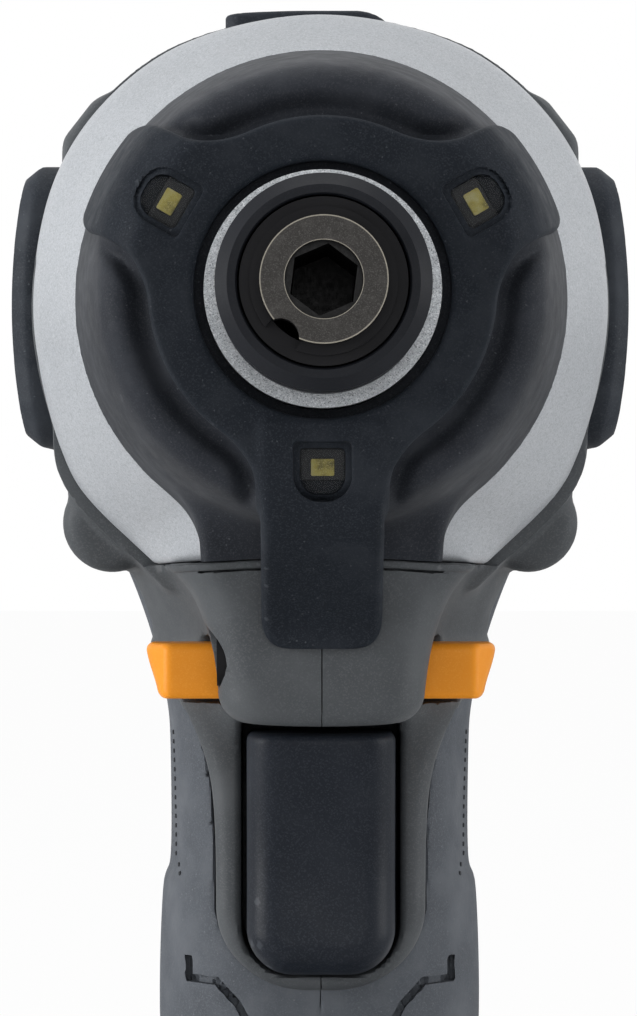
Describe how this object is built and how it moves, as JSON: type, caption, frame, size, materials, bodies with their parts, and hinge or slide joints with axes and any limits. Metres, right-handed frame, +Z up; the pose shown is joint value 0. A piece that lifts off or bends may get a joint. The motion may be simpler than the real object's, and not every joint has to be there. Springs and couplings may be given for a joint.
{
  "type": "impact driver",
  "caption": "Cordless pistol-grip impact driver with a hex bit socket in a sliding collar, lamp ring, trigger, direction selector, geared motor and hammer, on a slide-off battery pack.",
  "frame": {"origin": "centre of the tool's box at the underside of the battery pack", "axes": "+Z up; -Y towards the bit, so the drive axis lies along Y; +X to the right seen from the front of the bit"},
  "size_m": [0.08, 0.1298, 0.213],
  "materials": {
    "bright_steel": "ground and hardened steel",
    "dark_steel": "blackened steel with bright worn edges",
    "spring_steel": "drawn spring wire",
    "bronze": "sintered bronze",
    "case_alloy": "fine blasted alloy with a light sparkle",
    "silver_plastic": "metallic silver moulded plastic, fine speckle",
    "boot_rubber": "matt black rubber",
    "lamp_plastic": "matt black plastic",
    "circuit_board": "white solder mask",
    "lamp_chip": "yellow phosphor",
    "lens": "clear moulded lens",
    "core_steel": "stacked laminations",
    "copper": "enamelled copper wire",
    "magnet": "plated magnet and core",
    "green_board": "green solder mask",
    "housing_plastic": "grey fine-textured moulded plastic",
    "black_plastic": "black moulded plastic",
    "grip_rubber": "grey overmoulded rubber, fine texture",
    "pad_rubber": "dark overmoulded rubber",
    "trigger_plastic": "satin black plastic",
    "selector_orange": "orange satin plastic",
    "white_plastic": "natural white plastic",
    "contact_brass": "tinned brass",
    "cell_wrap": "shrink wrap",
    "button_orange": "orange satin plastic"
  },
  "bodies": {
    "housing": {"anvil_bush": "bronze", "thrust_washer": "bright_steel", "impact_case": "case_alloy", "silver_shroud": "silver_plastic", "nose_boot": "boot_rubber", "lamp_ring": "lamp_plastic", "lamp_board": "circuit_board", "lamp_chips": "lamp_chip", "lamp_lenses": "lens", "ring_gear": "dark_steel", "spindle_bearing": "bright_steel", "gear_plate": "case_alloy", "stator": "core_steel", "stator_coils": "copper", "front_bearing": "bright_steel", "rear_bearing": "bright_steel", "motor_board": "green_board", "housing_left": "housing_plastic", "housing_right": "housing_plastic", "housing_screws": "dark_steel", "side_pad_left": "pad_rubber", "side_pad_right": "pad_rubber", "top_bumper": "pad_rubber", "grip_left": "grip_rubber", "grip_right": "grip_rubber", "trigger_switch": "black_plastic", "trigger_spring": "spring_steel", "control_board": "green_board", "terminal_block": "black_plastic", "terminal_blades": "contact_brass", "hook_inserts": "contact_brass"},
    "anvil": {"anvil": "dark_steel", "collar_washer": "dark_steel", "collar_clip": "spring_steel", "detent_ball": "bright_steel", "collar_spring": "spring_steel"},
    "collar": {"bit_collar": "dark_steel"},
    "spindle": {"spindle": "bright_steel", "planet_pins": "bright_steel", "cam_balls": "bright_steel", "hammer_spring": "spring_steel"},
    "hammer": {"hammer": "dark_steel"},
    "planet_1": {"planet_gear_1": "bright_steel"},
    "planet_2": {"planet_gear_2": "bright_steel"},
    "planet_3": {"planet_gear_3": "bright_steel"},
    "rotor": {"rotor": "magnet", "rotor_shaft": "bright_steel", "fan": "black_plastic"},
    "trigger": {"trigger": "trigger_plastic", "switch_plunger": "white_plastic"},
    "selector": {"selector": "selector_orange"},
    "lever": {"reverse_lever": "white_plastic"},
    "pack": {"pack_tub": "black_plastic", "pack_lid": "housing_plastic", "pack_cells": "cell_wrap", "pack_contacts": "contact_brass", "pack_screws": "bright_steel"},
    "release_left": {"release_left": "button_orange"},
    "release_right": {"release_right": "button_orange"}
  },
  "joints": [
    {"name": "spindle_spin", "type": "hinge", "parent": "housing", "child": "spindle", "pos_m": [0, 0, 0.1756], "axis": [0, 1, 0], "continuous": true},
    {"name": "hammer_slide", "type": "slide", "parent": "spindle", "child": "hammer", "axis": [0, 1, 0], "range_m": [0, 0.005], "stiffness_N_per_m": 9000, "deforming": ["hammer_spring"]},
    {"name": "anvil_spin", "type": "hinge", "parent": "housing", "child": "anvil", "pos_m": [0, 0, 0.1756], "axis": [0, 1, 0], "continuous": true},
    {"name": "collar_slide", "type": "slide", "parent": "anvil", "child": "collar", "axis": [0, -1, 0], "range_m": [0, 0.0045], "stiffness_N_per_m": 2500, "deforming": ["collar_spring"]},
    {"name": "rotor_spin", "type": "hinge", "parent": "housing", "child": "rotor", "pos_m": [0, 0, 0.1756], "axis": [0, 1, 0], "continuous": true},
    {"name": "planet_1_spin", "type": "hinge", "parent": "spindle", "child": "planet_1", "pos_m": [0, 0.00695, 0.1876], "axis": [0, 1, 0], "continuous": true},
    {"name": "planet_2_spin", "type": "hinge", "parent": "spindle", "child": "planet_2", "pos_m": [-0.01039, 0.00695, 0.1696], "axis": [0, 1, 0], "continuous": true},
    {"name": "planet_3_spin", "type": "hinge", "parent": "spindle", "child": "planet_3", "pos_m": [0.01039, 0.00695, 0.1696], "axis": [0, 1, 0], "continuous": true},
    {"name": "trigger_slide", "type": "slide", "parent": "housing", "child": "trigger", "axis": [0, 1, 0], "range_m": [0, 0.0065], "stiffness_N_per_m": 1500, "deforming": ["trigger_spring"]},
    {"name": "selector_slide", "type": "slide", "parent": "housing", "child": "selector", "axis": [1, 0, 0], "range_m": [-0.0025, 0.0025]},
    {"name": "lever_turn", "type": "hinge", "parent": "housing", "child": "lever", "pos_m": [0, 0.0084, 0.1332], "axis": [0, 0, 1], "range_deg": [-9, 9]},
    {"name": "pack_slide", "type": "slide", "parent": "housing", "child": "pack", "axis": [0, -1, 0], "range_m": [0, 0.072]},
    {"name": "release_left_press", "type": "slide", "parent": "pack", "child": "release_left", "axis": [1, 0, 0], "range_m": [0, 0.003], "stiffness_N_per_m": 1500},
    {"name": "release_right_press", "type": "slide", "parent": "pack", "child": "release_right", "axis": [-1, 0, 0], "range_m": [0, 0.003], "stiffness_N_per_m": 1500}
  ],
  "couplings": [
    {"joint": "anvil_spin", "follows": "spindle_spin", "ratio": 1},
    {"joint": "rotor_spin", "follows": "spindle_spin", "ratio": 6.6667},
    {"joint": "planet_1_spin", "follows": "spindle_spin", "ratio": -2.4286},
    {"joint": "planet_2_spin", "follows": "spindle_spin", "ratio": -2.4286},
    {"joint": "planet_3_spin", "follows": "spindle_spin", "ratio": -2.4286},
    {"joint": "lever_turn", "follows": "selector_slide", "rad_per_m": 62.5}
  ]
}
